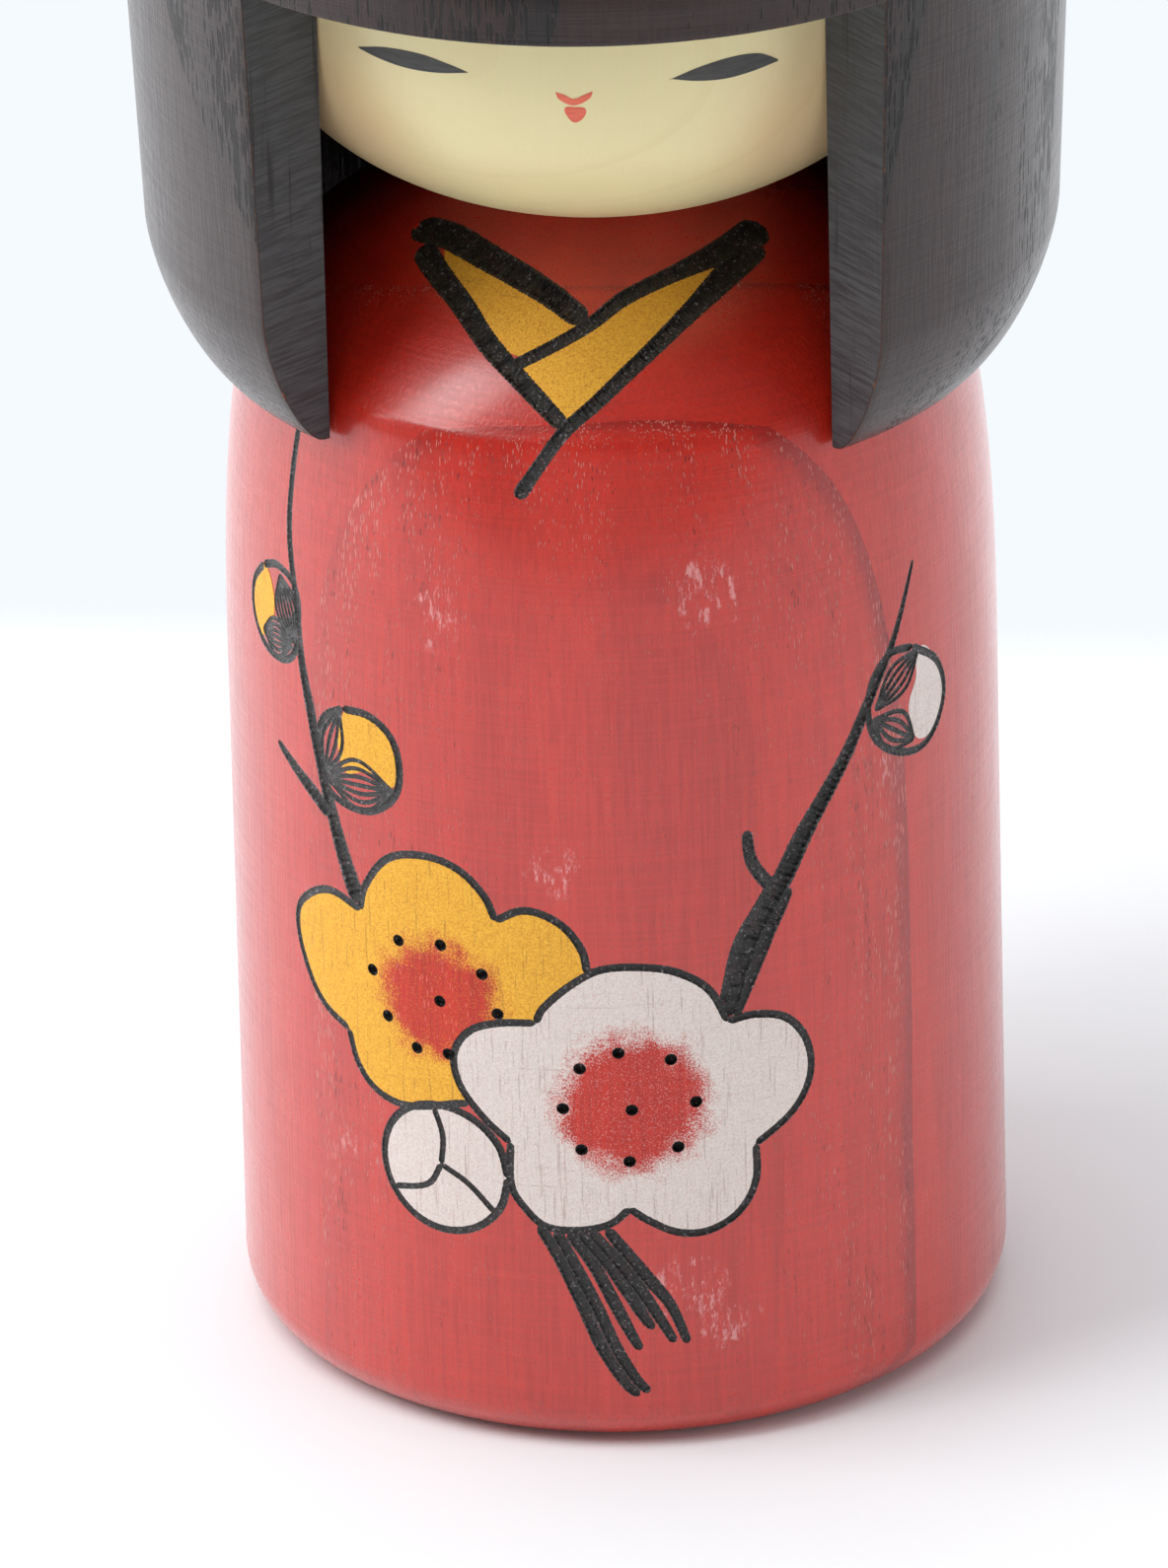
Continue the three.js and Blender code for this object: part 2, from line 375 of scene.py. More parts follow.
def stroke(skin, points, share, dented):
    """Round-ended tube along (around, height, width) points, lying half in the wood."""
    flat_points = []
    for around, height, width in points:
        flat = skin.flat(height)
        flat_points.append((around, flat, width * skin.stretch(flat) / 2))
    line = smooth_line(flat_points, LINE_STEP)
    curve = bpy.data.curves.new("stroke", "CURVE")
    curve.dimensions = "3D"
    curve.bevel_depth = 1.0
    curve.bevel_resolution = 2
    curve.use_fill_caps = True
    spline = curve.splines.new("POLY")
    spline.points.add(len(line) - 1)
    length = LINE_STEP * (len(line) - 1)
    for i, place in enumerate(line):
        half = place.z
        from_end = min(i, len(line) - 1 - i) * LINE_STEP
        ending = min(from_end / half, 1) if length > 2 * half else 1
        rounding = max(math.sqrt(1 - (1 - ending) ** 2), 0.35)
        dent = (i % 2 + random.random()) / 2 * DENT_DEPTH
        dents = 1 - dent * (1 if dented else EDGE_DENTS)
        spline.points[i].co = (place.x, place.y, 0, 1)
        spline.points[i].radius = half * rounding * share * dents
    tube = settle(add_object("stroke", curve))
    tube.data.transform(Matrix.Diagonal((1, 1, TROUGH_SHAPE, 1)))
    skin.wrap(tube.data)
    bm = bmesh.new()
    bm.from_mesh(tube.data)
    close_up(bm)
    bm.to_mesh(tube.data)
    bm.free()
    return tube


def pit(skin, around, height, share):
    bm = bmesh.new()
    bmesh.ops.create_uvsphere(bm, u_segments=14, v_segments=8, radius=PIT_RADIUS * share)
    bmesh.ops.translate(bm, verts=bm.verts, vec=(around, skin.flat(height), -PIT_RADIUS * PIT_SINK))
    made = add_object("pit", mesh_from(bm, "pit"))
    skin.wrap(made.data)
    return made


def widths(points, *sizes):
    """Points with widths that run evenly through the given sizes."""
    last = len(points) - 1
    made = []
    for i, (around, height) in enumerate(points):
        place = i / last * (len(sizes) - 1)
        j = min(int(place), len(sizes) - 2)
        made.append((around, height, sizes[j] + (sizes[j + 1] - sizes[j]) * (place - j)))
    return made


# The drawing on the body.

GOLD_TOP = [
    (-22, 51.2), (-21.3, 53.8), (-18.6, 57.3), (-14.9, 58.5), (-11.5, 57.9), (-9, 55.7), (-7.9, 53.3),
]
GOLD_RIGHT = [(-7.9, 53.3), (-5.1, 54.6), (-2, 53.5), (-0.1, 51), (0.4, 48.6)]
GOLD_LEFT = [
    (-23.8, 38.5), (-27.2, 40.1), (-29.5, 43.1), (-30.7, 46.9), (-29.8, 49.4), (-26, 51.8), (-22, 51.2),
]
GOLD_LOW = [
    (-10.9, 34.4), (-12.6, 34), (-14.7, 33.3), (-18, 32.7), (-20.9, 33.5), (-22.8, 35.5), (-23.8, 38.5),
]
SILVER_TOP = [
    (-4.4, 43.4), (-3.7, 44.9), (-1, 47.5), (1.7, 49), (5.6, 49.1), (8.6, 48.3), (11.3, 46.3), (13, 42.9),
]
SILVER_RIGHT = [(13, 42.9), (15.6, 43.1), (18.6, 42.1), (20.6, 39.3), (20.9, 35.8), (19.2, 32.7), (15.4, 30)]
SILVER_LOW_RIGHT = [(15.4, 30), (15.3, 26.3), (13.7, 23.5), (10.9, 22), (8.1, 22.1), (5.4, 23.5), (3.7, 24.8)]
SILVER_LOW_LEFT = [(3.7, 24.8), (2, 23.3), (-0.7, 22.6), (-3.9, 22.8), (-5.8, 24.5), (-7, 26.6), (-7, 31)]
SILVER_LEFT = [(-7, 31), (-9.6, 33.3), (-11.8, 36.3), (-12.2, 39.3), (-10.6, 41.8), (-7.8, 43), (-4.4, 43.4)]
GOLD_PETALS = [GOLD_TOP, GOLD_RIGHT, GOLD_LOW, GOLD_LEFT]
SILVER_PETALS = [SILVER_TOP, SILVER_RIGHT, SILVER_LOW_RIGHT, SILVER_LOW_LEFT, SILVER_LEFT]
GOLD_PITS = [
    (-13.5, 44.2), (-17.7, 49.3), (-13.3, 49.9), (-9.3, 47.7), (-7.9, 43.9),
    (-20.7, 45.5), (-19.1, 41.3), (-16, 38.9), (-12.8, 39),
]
SILVER_PITS = [
    (4.1, 34.8), (3, 40.6), (7.7, 39.7), (9.9, 35.2), (8.2, 30.8), (3.8, 29.6),
    (-0.5, 30.8), (-2.1, 34.9), (-0.5, 39),
]
BALL_CENTRE, BALL_RADIUS = (-13.6, 27.3), 6.3
BUD_1 = [
    (-35.6, 80.6), (-32.9, 81.5), (-30, 80.4), (-29.5, 76.5), (-30.4, 73.6), (-32.6, 72.5), (-35.6, 73),
    (-37.7, 75.4), (-37.6, 78.2),
]
BUD_2 = [
    (-23.5, 70.8), (-20.4, 71), (-18, 69.6), (-17.1, 66.8), (-17.6, 63.9), (-20, 61.7), (-22.8, 61.2),
    (-25.4, 62), (-26.5, 64.4), (-26.8, 67), (-25.8, 69.3),
]
BUD_3 = [
    (34, 74.3), (37.7, 71.3), (38.6, 67.5), (35.9, 64.2), (31.9, 64.6), (28.6, 67.5), (28.3, 72),
    (30.7, 74.6),
]
COLLAR_LEFT = [(-35, 110.5), (-25.5, 110.9), (-13.1, 110.2), (-4.9, 109.1), (0.8, 107.6)]
COLLAR_RIGHT = [(35, 110.9), (24.3, 110.5), (14.5, 109.9), (6.4, 108.9), (1, 107.3), (-7.2, 104.7)]
LAPEL_LEFT = [(-29.6, 109.9), (-17.6, 108), (-10.6, 105.7), (-5.6, 103.6), (-0.9, 100.9)]
LAPEL_RIGHT = [
    (31.3, 110.4), (21.4, 109.1), (13.7, 107.4), (6.7, 104.9), (1.8, 102.3), (-0.6, 100.8), (-3, 98),
    (-5.3, 94.6),
]
BRANCH_LEFT = [
    (-31, 95.8), (-31.3, 91), (-31.2, 85.3), (-29.8, 78.8), (-29.1, 74), (-28.1, 70.1), (-26, 62.3),
    (-24, 56.2), (-22.2, 51.8),
]
BRANCH_RIGHT = [
    (34.7, 82.5), (31.4, 75.8), (28.7, 71.9), (25.4, 66.6), (20.9, 60.3), (19.1, 57.1), (17.3, 53.9),
    (15.5, 50.8), (14.2, 47.4), (13.2, 43.4),
]
TWIG = [(15.1, 61.6), (15.6, 58.3), (18.2, 54.4)]
THORN = [(-33.2, 64), (-30.1, 62.3), (-27.6, 60.9), (-25.5, 59.5)]
STEMS = [
    [(-4.5, 22.8), (-2.8, 19.7), (-0.9, 15.3), (0.9, 10.6), (3.1, 6.7), (4.2, 5.6)],
    [(-3, 22.4), (-1.4, 19.1), (0.5, 14.9), (2.2, 10.6), (4, 7.2), (5.1, 5.9)],
    [(-1.8, 22.3), (0.4, 18.9), (2.2, 15), (3.6, 11.9), (4.4, 10.3)],
    [(-0.8, 22.3), (1.6, 19.2), (3.4, 16.2), (4.8, 13.6), (5.6, 12.4)],
    [(0.2, 22.4), (2.4, 19.6), (4.3, 16.8), (6.2, 13.4), (7.5, 10.9)],
    [(1.6, 22.7), (3.4, 20.2), (5.3, 17.5), (7.2, 14.7), (8.7, 10.7)],
]
OUTLINE = 0.85
FINE = 0.7
SCRIBBLE = 0.52


def around_ball(turn):
    return (BALL_CENTRE[0] + BALL_RADIUS * math.cos(turn), BALL_CENTRE[1] + BALL_RADIUS * math.sin(turn))


def leaf(base, tip, fullness, count):
    """Scribbled leaf: loops that share a base and a tip and bow out to both sides."""
    start, end = Vector(base), Vector(tip)
    across = (end - start).orthogonal()
    made = []
    for i in range(count):
        bow = fullness * (2 * i / (count - 1) - 1)
        middle = start.lerp(end, 0.52) + across * bow
        made.append([tuple(start), tuple(middle), tuple(end)])
    return made


LEAVES = (
    leaf((-29.9, 74.8), (-32.6, 80.8), 0.3, 8)
    + leaf((-30.4, 74.6), (-35.6, 74.2), 0.34, 7)
    + leaf((-26, 63.4), (-23.9, 70.5), 0.17, 4)
    + leaf((-25.9, 63.2), (-17.8, 64.2), 0.3, 7)
    + leaf((28.9, 69.8), (34.8, 73.8), 0.22, 5)
    + leaf((28.6, 69), (33.9, 65.1), 0.27, 5)
)


def burnt_strokes():
    strokes = [widths(petal, OUTLINE, OUTLINE) for petal in GOLD_PETALS + SILVER_PETALS]
    strokes += [widths(bud + bud[:1], OUTLINE, OUTLINE) for bud in (BUD_1, BUD_2, BUD_3)]
    ball = [around_ball(2 * math.pi * share) for share in steps(12)]
    strokes.append(widths(ball, OUTLINE, OUTLINE))
    hub = (-13.8, 27.6)
    seams = ([(-14.4, 33.2), (-13.6, 30.6), hub], [hub, (-15.2, 25.3), (-18.8, 24.1)])
    seams += ([hub, (-11.2, 26.2), (-8.6, 23.6)],)
    strokes += [widths(seam, FINE, FINE) for seam in seams]
    strokes += [
        widths(COLLAR_LEFT, 3.4, 3.1, 2.8, 2.3),
        widths(COLLAR_RIGHT, 3.6, 2.8, 1.9, 1.7, 1.5, 1.4),
        widths(LAPEL_LEFT, 2.6, 2.2, 2.0, 1.6),
        widths(LAPEL_RIGHT, 3.4, 2.6, 1.9, 1.6, 1.5, 1.4, 1.3, 1.5),
        widths(BRANCH_LEFT, 0.8, 0.9, 1.0, 1.2, 1.5, 1.8, 2.3),
        widths(THORN, 0.9, 1.4, 1.7, 1.7),
        widths(BRANCH_RIGHT, 0.45, 0.9, 1.3, 1.6, 2.1, 2.3, 2.0, 1.8, 1.8, 1.6),
        widths([(18, 56.6), (16.2, 53.6), (14.3, 50.4), (12.7, 44.8)], 1.2, 1.5, 1.6, 1.2),
        widths([(19.2, 55), (18.3, 53.4), (16.8, 50.6), (15.4, 47.6)], 1.0, 1.4, 1.5, 1.3),
        widths([(17, 50.8), (15.6, 47.4), (13.8, 43.2)], 1.4, 1.1, 0.8),
        widths(TWIG, 1.1, 1.5),
    ]
    strokes += [widths(stem, 1.2, 1.35, 0.9) for stem in STEMS]
    strokes += [widths(loop, SCRIBBLE, SCRIBBLE) for loop in LEAVES]
    return strokes


def joined_tubes(name, skin, strokes, pits, share, dented):
    tubes = [stroke(skin, points, share, dented) for points in strokes]
    tubes += [pit(skin, around, height, share) for around, height in pits]
    whole = carve(tubes[0], "UNION", *tubes[1:])
    discard(tubes[1:])
    whole.name = name
    return whole


# Paint, brushed on inside the burnt outlines.

PAINT_THICKNESS = 0.035
PAINT_SLICE = 1.0
GOLD_IN_BUD_1 = [(-36.9, 79.6), (-35.2, 80.6), (-33.6, 78.4), (-33.8, 75.6), (-35.9, 73.6), (-37.6, 76.5)]
GOLD_IN_BUD_2 = [
    (-23.4, 70.4), (-20.8, 71), (-18.1, 69.4), (-17.3, 66.8), (-17.9, 64.6), (-20.4, 65.4), (-23.6, 64.8),
]
SILVER_IN_BUD_3 = [
    (35, 73.9), (37.5, 71.3), (38.3, 68), (36.3, 64.9), (34.2, 65.2), (33.2, 68.6), (34.3, 71),
]
COLLAR_GOLD_LEFT = (
    [(-26, 110.4), (-13.1, 110), (-4.9, 108.9), (0, 107.4)],
    [(0, 107.4), (-6.1, 105.2)],
    [(-6.1, 105.2), (-10.6, 105.9), (-17.9, 107.9), (-26, 110.4)],
)
COLLAR_GOLD_RIGHT = (
    [(22, 109.8), (14.5, 109.8), (6.4, 108.8), (1, 107.2), (-6.6, 104.8)],
    [(-6.6, 104.8), (-1, 101.2)],
    [(-1, 101.2), (1.8, 102.4), (6.7, 105), (13.7, 107.5), (22, 109.8)],
)


def film(name, skin, outlines):
    """Thin coat inside each closed outline of (around, height) points, bent to the skin."""
    bm = bmesh.new()
    for outline in outlines:
        bm.faces.new([bm.verts.new((around, skin.flat(height), 0)) for around, height in outline])
    bmesh.ops.triangulate(bm, faces=bm.faces, ngon_method="EAR_CLIP")
    for axis in (0, 1):
        places = [vert.co[axis] for vert in bm.verts]
        cut = min(places) + PAINT_SLICE
        while cut < max(places):
            where = [0, 0, 0]
            across = [0, 0, 0]
            where[axis] = cut
            across[axis] = 1
            bmesh.ops.bisect_plane(
                bm, geom=bm.verts[:] + bm.edges[:] + bm.faces[:], dist=1e-5, plane_co=where, plane_no=across
            )
            cut += PAINT_SLICE
    top = bmesh.ops.extrude_face_region(bm, geom=bm.faces[:])
    raised = [item for item in top["geom"] if isinstance(item, bmesh.types.BMVert)]
    bmesh.ops.translate(bm, verts=raised, vec=(0, 0, PAINT_THICKNESS))
    close_up(bm)
    made = add_object(name, mesh_from(bm, name))
    skin.wrap(made.data)
    return made


def joined_line(*runs):
    """One closed outline from runs of points that meet end to end, each smooth on its own."""
    line = []
    for run in runs:
        line += [(place.x, place.y) for place in smooth_line(run)[:-1]]
    return line


def smooth_pairs(points):
    """One closed smooth outline through the points."""
    return [(place.x, place.y) for place in smooth_line(points, closed=True)[:-1]]


def build_body():
    skin = Skin(body_skin(), BODY_RADIUS)
    profile = [(0, 0)] + body_skin() + [
        (DOWEL_HOLE_RADIUS, NECK_HEIGHT), (DOWEL_HOLE_RADIUS, NECK_HOLE_FLOOR), (0, NECK_HOLE_FLOOR),
    ]
    body = turned("body_turned", profile)
    strokes = burnt_strokes()
    pits = GOLD_PITS + SILVER_PITS
    troughs = joined_tubes("troughs", skin, strokes, pits, 1.0, False)
    open_part = joined_tubes("open_part", skin, strokes, pits, LINING_WIDTH, True)
    lines = carve(copy_of(body, "burnt_lines"), "INTERSECT", troughs)
    lines = carve(lines, "DIFFERENCE", open_part)
    body = carve(body, "DIFFERENCE", troughs)

    gold_close = [(0.4, 48.6), (-1, 47.5), (-3.7, 44.9), (-4.4, 43.4)]
    gold_back = SILVER_LEFT[:1:-1] + GOLD_LOW[:1]
    gold_flower = joined_line(GOLD_TOP, GOLD_RIGHT, gold_close, gold_back, GOLD_LOW, GOLD_LEFT)
    ball = [around_ball(2 * math.pi * share) for share in steps(48)[:-1]]
    gold_bits = [smooth_pairs(GOLD_IN_BUD_1), smooth_pairs(GOLD_IN_BUD_2)]
    gold_bits += [joined_line(*COLLAR_GOLD_LEFT), joined_line(*COLLAR_GOLD_RIGHT)]
    silver_bits = [joined_line(*SILVER_PETALS), ball, smooth_pairs(SILVER_IN_BUD_3)]
    gold = film("gold_paint", skin, [gold_flower] + gold_bits)
    silver = film("silver_paint", skin, silver_bits)
    gold = carve(gold, "DIFFERENCE", troughs)
    silver = carve(silver, "DIFFERENCE", troughs)
    discard([troughs, open_part])
    for piece in (body, lines, gold, silver):
        shade(piece.data)
    return body, lines, gold, silver


# The head, with painted eyes and mouth.

LEFT_EYE = [(-19.6, 135.7), (-16.5, 136.4), (-13, 136.5), (-10.4, 136), (-8.4, 135.4)]
LEFT_EYE_LOW = [(-8.5, 135.4), (-11.5, 134.95), (-14.5, 134.85), (-17.3, 135.15), (-19.5, 135.6)]
RIGHT_EYE = [(9.3, 134.9), (12, 135.8), (15, 136.3), (17.6, 136.15), (19.6, 135.1)]
RIGHT_EYE_LOW = [(19.5, 135), (17, 134.55), (14.5, 134.3), (11.8, 134.5), (9.4, 135)]
UPPER_LIP = [(-0.7, 134.1), (0.1, 133.85), (0.9, 133.45), (1.8, 133.85), (2.6, 134.2)]
UPPER_LIP_LOW = [(2.6, 134.2), (2.3, 133.5), (0.9, 132.8), (-0.4, 133.4), (-0.7, 134.1)]
LOWER_LIP = [(0.1, 132.5), (1, 132.6), (1.9, 132.4), (1.7, 131.5), (0.9, 131), (0.3, 131.6)]


def build_head():
    skin = Skin(head_skin(), HEAD_RADIUS)
    neck_hole = [(0, HEAD_HOLE_CEILING), (DOWEL_HOLE_RADIUS, HEAD_HOLE_CEILING)]
    neck_hole.append((DOWEL_HOLE_RADIUS, HEAD_SEAT))
    crown_hole = [(CROWN_HOLE_RADIUS, HEAD_TOP), (CROWN_HOLE_RADIUS, CROWN_HOLE_FLOOR), (0, CROWN_HOLE_FLOOR)]
    profile = neck_hole + head_skin() + crown_hole
    head = turned("head_turned", profile)
    eyes = film("eyes", skin, [joined_line(LEFT_EYE, LEFT_EYE_LOW), joined_line(RIGHT_EYE, RIGHT_EYE_LOW)])
    lips = film("lips", skin, [joined_line(UPPER_LIP, UPPER_LIP_LOW), smooth_pairs(LOWER_LIP)])
    for piece in (head, eyes, lips):
        shade(piece.data)
    return head, eyes, lips


# The hair: one turned bell with the window for the face sawn out of it.

WINDOW_STEPS = 48
BACK_STEPS = 144
SKIN_FACE, CUT_FACE, WORN_EDGE = 0, 1, 2


def build_hair():
    bm = bmesh.new()
    outside = hair_outside()
    profile = list(reversed(hair_inside())) + outside
    profile[-1] = (0, HAIR_TOP)
    front = -QUARTER
    spin(bm, profile, front - WINDOW_HALF_ANGLE, 2 * WINDOW_HALF_ANGLE, WINDOW_STEPS)
    spin(bm, profile, front + WINDOW_HALF_ANGLE, 2 * (math.pi - WINDOW_HALF_ANGLE), BACK_STEPS)
    close_up(bm)

    def in_window(face):
        middle = face.calc_center_median()
        turn = math.atan2(middle.x, -middle.y)
        return abs(turn) < WINDOW_HALF_ANGLE and middle.z < FRINGE_HEIGHT

    gone = [face for face in bm.faces if in_window(face)]
    bmesh.ops.delete(bm, geom=gone, context="FACES")
    rim = [edge for edge in bm.edges if edge.is_boundary]
    corners = {}
    for edge in rim:
        for vert in edge.verts:
            level = abs(vert.co.z - FRINGE_HEIGHT) < 1e-3
            turn = math.atan2(vert.co.x, -vert.co.y)
            if level and abs(abs(turn) - WINDOW_HALF_ANGLE) < 1e-4:
                corners[(turn > 0, vert.co.xy.length > BORE_RADIUS + 1)] = vert
    for side in (False, True):
        bm.edges.new((corners[(side, False)], corners[(side, True)]))

    def on_fringe(edge):
        return all(abs(vert.co.z - FRINGE_HEIGHT) < 1e-3 for vert in edge.verts)

    arcs = [edge for edge in rim if on_fringe(edge)]
    bmesh.ops.bridge_loops(bm, edges=arcs)
    open_edges = [edge for edge in bm.edges if edge.is_boundary]
    bmesh.ops.holes_fill(bm, edges=open_edges, sides=0)
    bmesh.ops.recalc_face_normals(bm, faces=bm.faces)

    cut_faces = [face for face in bm.faces if is_cut_face(face)]
    for face in cut_faces:
        face.material_index = CUT_FACE
    outer_edges = []
    for edge in bm.edges:
        kinds = {face.material_index for face in edge.link_faces}
        reach = min(vert.co.xy.length for vert in edge.verts)
        if kinds == {SKIN_FACE, CUT_FACE} and reach > BORE_RADIUS + 0.2:
            outer_edges.append(edge)
    made = bmesh.ops.bevel(
        bm, geom=outer_edges, offset=EDGE_CHAMFER, offset_type="OFFSET", segments=2, profile=0.5,
        affect="EDGES", material=-1, clamp_overlap=True,
    )
    for face in made["faces"]:
        face.material_index = WORN_EDGE
    close_up(bm, 1e-5)
    hair = add_object("hair_turned", mesh_from(bm, "hair_turned"))
    shade(hair.data, 25)
    for face in hair.data.polygons:
        if face.material_index == CUT_FACE:
            face.use_smooth = False
    return hair


def is_cut_face(face):
    """True on the two sawn sides of the window and on the underside of the fringe."""
    middle = face.calc_center_median()
    if middle.y > 0 or middle.z > FRINGE_HEIGHT + 1e-3:
        return False
    if abs(face.normal.z) > 0.99 and abs(middle.z - FRINGE_HEIGHT) < 1e-3:
        return True
    return len(face.verts) > 8


# Shader helpers.


class Nodes:
    def __init__(self, tree):
        self.tree = tree

    def add(self, kind, inputs=None, output=None, **settings):
        node = self.tree.nodes.new("ShaderNode" + kind)
        for name, value in settings.items():
            setattr(node, name, value)
        for name, value in (inputs or {}).items():
            socket = node.inputs[name]
            if isinstance(value, bpy.types.NodeSocket):
                self.tree.links.new(value, socket)
            else:
                socket.default_value = value
        return node.outputs[output] if output is not None else node.outputs[0]

    def math(self, operation, a, b=0.0, clamp=False):
        return self.add("Math", {0: a, 1: b}, operation=operation, use_clamp=clamp)

    def ramp(self, value, low, high, out_low=0.0, out_high=1.0, smooth=True):
        kind = "SMOOTHSTEP" if smooth else "LINEAR"
        inputs = {"Value": value, "From Min": low, "From Max": high, "To Min": out_low, "To Max": out_high}
        return self.add("MapRange", inputs, interpolation_type=kind)

    def mix(self, share, a, b, blend="MIX"):
        inputs = {"Factor": share, 6: a, 7: b}
        return self.add("Mix", inputs, 2, data_type="RGBA", blend_type=blend, clamp_factor=True)

    def noise(self, vector, scale, detail=2.0, roughness=0.5):
        inputs = {"Vector": vector, "Scale": scale, "Detail": detail, "Roughness": roughness}
        return self.add("TexNoise", inputs, "Fac")

    def grain(self, vector, fineness, detail=2.0, roughness=0.5):
        """Noise drawn out along the axes where its fineness per millimetre is low."""
        return self.noise(self.stretch(vector, *fineness), 1.0, detail, roughness)

    def stretch(self, vector, x, y, z, turn=(0, 0, 0), shift=(0, 0, 0)):
        inputs = {"Vector": vector, "Scale": (x, y, z), "Rotation": turn, "Location": shift}
        return self.add("Mapping", inputs)


def new_group(name, inputs, outputs):
    tree = bpy.data.node_groups.new(name, "ShaderNodeTree")
    for socket, (kind, value) in inputs.items():
        made = tree.interface.new_socket(socket, in_out="INPUT", socket_type="NodeSocket" + kind)
        made.default_value = value
    for socket, kind in outputs.items():
        tree.interface.new_socket(socket, in_out="OUTPUT", socket_type="NodeSocket" + kind)
    nodes = Nodes(tree)
    entry = tree.nodes.new("NodeGroupInput").outputs
    leave = tree.nodes.new("NodeGroupOutput").inputs
    place = nodes.add("TexCoord", output="Object")
    in_mm = nodes.add("VectorMath", {0: place, 1: (1 / MM,) * 3}, operation="MULTIPLY")
    return nodes, entry, leave, in_mm


def linear(red, green, blue):
    """A colour as a painter reads it off a chart, 0 to 255, for a shader."""
    parts = []
    for part in (red, green, blue):
        part /= 255
        parts.append(part / 12.92 if part <= 0.04045 else ((part + 0.055) / 1.055) ** 2.4)
    return (*parts, 1.0)


def wood_group():
    """Ring-porous wood about an upright pith: open pores just outside each ring, fibres, lathe marks."""
    nodes, entry, leave, place = new_group(
        "ring_porous_wood",
        {
            "Pith": ("Vector", (0, 0, 0)),
            "Ring Start": ("Float", 5.2),
            "Ring Width": ("Float", 10.9),
            "Pore Reach": ("Float", 4.5),
            "Pore Share": ("Float", 1.0),
            "Pore Fineness": ("Float", 1.0),
            "Grain": ("Float", 1.0),
            "Light": ("Color", (0.5, 0.1, 0.05, 1)),
            "Dark": ("Color", (0.2, 0.02, 0.01, 1)),
            "Pore": ("Color", (0.05, 0.01, 0.01, 1)),
            "Filler": ("Color", (0.05, 0.01, 0.01, 1)),
            "Thin Rings": ("Float", 0.5),
        },
        {"Color": "Color", "Pores": "Float", "Height": "Float", "Roughness": "Float"},
    )
    centred = nodes.add("VectorMath", {0: place, 1: entry["Pith"]}, operation="SUBTRACT")
    level = nodes.stretch(centred, 1, 1, 0)
    wander = nodes.grain(place, (0.03, 0.03, 0.012), 2.0)
    reach = nodes.add("VectorMath", {0: level}, "Value", operation="LENGTH")
    reach = nodes.math("ADD", reach, nodes.ramp(wander, 0, 1, -1.2, 1.2, smooth=False))
    ring = nodes.math("DIVIDE", nodes.math("SUBTRACT", reach, entry["Ring Start"]), entry["Ring Width"])
    phase = nodes.math("FRACT", ring)
    into_ring = nodes.math("MULTIPLY", phase, entry["Ring Width"])
    away_from_ring = nodes.math("DIVIDE", into_ring, entry["Pore Reach"])
    early = nodes.math("EXPONENT", nodes.math("MULTIPLY", away_from_ring, -1))
    boundary = nodes.ramp(into_ring, 0.0, 0.8, 1, 0)
    across = nodes.add("SeparateXYZ", {0: place}, "X")
    boundary = nodes.math("MULTIPLY", boundary, nodes.ramp(across, -24, 8, 0.15, 1))

    cells = nodes.add(
        "TexVoronoi",
        {"Vector": nodes.stretch(place, 2.4, 2.4, 0.34), "Scale": entry["Pore Fineness"], "Randomness": 1.0},
        "Distance", feature="F1",
    )
    patchy = nodes.grain(place, (0.35, 0.35, 0.05), 2.0)
    share = nodes.math("MULTIPLY", early, entry["Pore Share"])
    size = nodes.math("MULTIPLY", share, nodes.ramp(patchy, 0.3, 0.65, 0.16, 0.44))
    pores = nodes.ramp(nodes.math("SUBTRACT", size, cells), -0.02, 0.1)
    kind = nodes.noise(nodes.stretch(place, 1.2, 1.2, 0.2, shift=(5, 3, 9)), 1.0, 2.0)
    pore_colour = nodes.mix(nodes.ramp(kind, 0.36, 0.44), entry["Pore"], entry["Filler"])

    fine = nodes.grain(place, (3.0, 3.0, 0.1), 3.0, 0.7)
    broad = nodes.grain(place, (0.16, 0.16, 0.012), 3.0)
    lathe = nodes.grain(place, (0.06, 0.06, 3.2), 3.0, 0.6)
    along_ring = nodes.add("CombineXYZ", {"X": reach, "Z": nodes.math("MULTIPLY", broad, 0.4)})
    thin_rings = nodes.ramp(nodes.noise(along_ring, 1.5, 2.0, 0.6), 0.56, 0.68)
    thin_rings = nodes.math("MULTIPLY", thin_rings, nodes.ramp(patchy, 0.4, 0.6, 0.15, 0.8))
    thin_rings = nodes.math("MULTIPLY", thin_rings, nodes.ramp(across, 8, 26, 0.6, 2.2))
    fibres = nodes.ramp(fine, 0.32, 0.68, -0.5, 0.5)
    streak = nodes.math("ADD", fibres, nodes.ramp(lathe, 0.32, 0.68, -0.3, 0.3))
    streak = nodes.math("MULTIPLY", streak, entry["Grain"])
    tone = nodes.math("ADD", nodes.math("MULTIPLY", boundary, 0.8), nodes.ramp(broad, 0.3, 0.7, 0.15, 0.42))
    tone = nodes.math("ADD", tone, nodes.math("MULTIPLY", thin_rings, entry["Thin Rings"]))
    tone = nodes.math("ADD", tone, nodes.math("MULTIPLY", streak, 0.4), clamp=True)
    colour = nodes.mix(tone, entry["Light"], entry["Dark"])
    colour = nodes.mix(nodes.math("MULTIPLY", pores, 0.75), colour, pore_colour)
    height = nodes.math("ADD", nodes.math("MULTIPLY", pores, -1), nodes.math("MULTIPLY", streak, 0.22))
    nodes.tree.links.new(colour, leave["Color"])
    nodes.tree.links.new(pores, leave["Pores"])
    nodes.tree.links.new(height, leave["Height"])
    rough = nodes.math("ADD", nodes.math("MULTIPLY", pores, 0.25), nodes.math("MULTIPLY", streak, 0.12))
    nodes.tree.links.new(rough, leave["Roughness"])
    return nodes.tree


